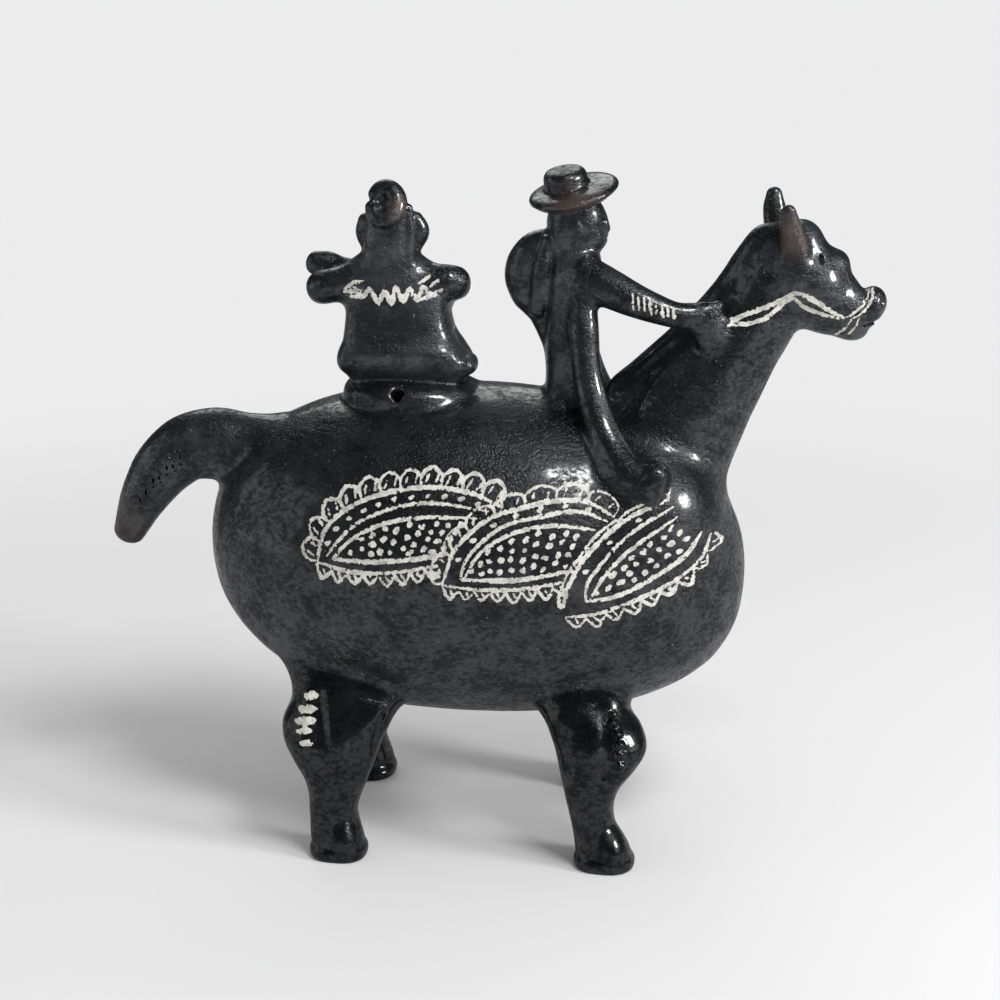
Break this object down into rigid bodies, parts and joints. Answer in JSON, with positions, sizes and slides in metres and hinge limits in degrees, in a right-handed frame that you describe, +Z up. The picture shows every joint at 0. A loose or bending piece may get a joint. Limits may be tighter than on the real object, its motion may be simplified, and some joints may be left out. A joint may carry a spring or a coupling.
{
  "type": "folk pottery horse and rider figurine",
  "caption": "Pot-bodied black clay horse that carries a rider in a flat-brimmed hat and a seated woman with a guitar; stands on its hoofs.",
  "frame": {"origin": "on the ground, under the middle of the figurine's box", "axes": "+X the way the horse faces, +Y its far side, +Z up"},
  "size_m": [0.2374, 0.0922, 0.2104],
  "materials": {
    "black_clay": "smoke-fired black clay, burnished to a streaky graphite sheen",
    "browned_clay": "smoke-fired black clay with a brown bloom at thin tips, burnished",
    "white_slip": "dry chalky white clay rubbed into scratched lines"
  },
  "bodies": {
    "root": {"belly_shell": "black_clay", "back_shell": "black_clay", "near_fore_leg": "black_clay", "far_fore_leg": "black_clay", "near_hind_leg": "black_clay", "far_hind_leg": "black_clay", "neck": "black_clay", "head": "black_clay", "mane": "black_clay", "forelock": "black_clay", "nose_ridge": "black_clay", "rider_torso": "black_clay", "rider_near_leg": "black_clay", "rider_far_leg": "black_clay", "rider_head": "black_clay", "rider_nose": "black_clay", "hat_crown": "black_clay", "rider_near_hand": "black_clay", "rider_far_hand": "black_clay", "rider_near_arm": "black_clay", "rider_far_arm": "black_clay", "poncho_flap": "black_clay", "seat_pad": "black_clay", "skirt": "black_clay", "skirt_front": "black_clay", "left_shoe": "black_clay", "right_shoe": "black_clay", "woman_torso": "black_clay", "woman_head": "black_clay", "woman_nose": "black_clay", "left_braid": "black_clay", "right_braid": "black_clay", "guitar_body": "black_clay", "guitar_neck": "black_clay", "woman_left_arm": "black_clay", "woman_right_arm": "black_clay", "tail": "browned_clay", "near_ear": "browned_clay", "far_ear": "browned_clay", "hat_brim": "browned_clay", "hair_bun": "browned_clay"}
  },
  "joints": []
}
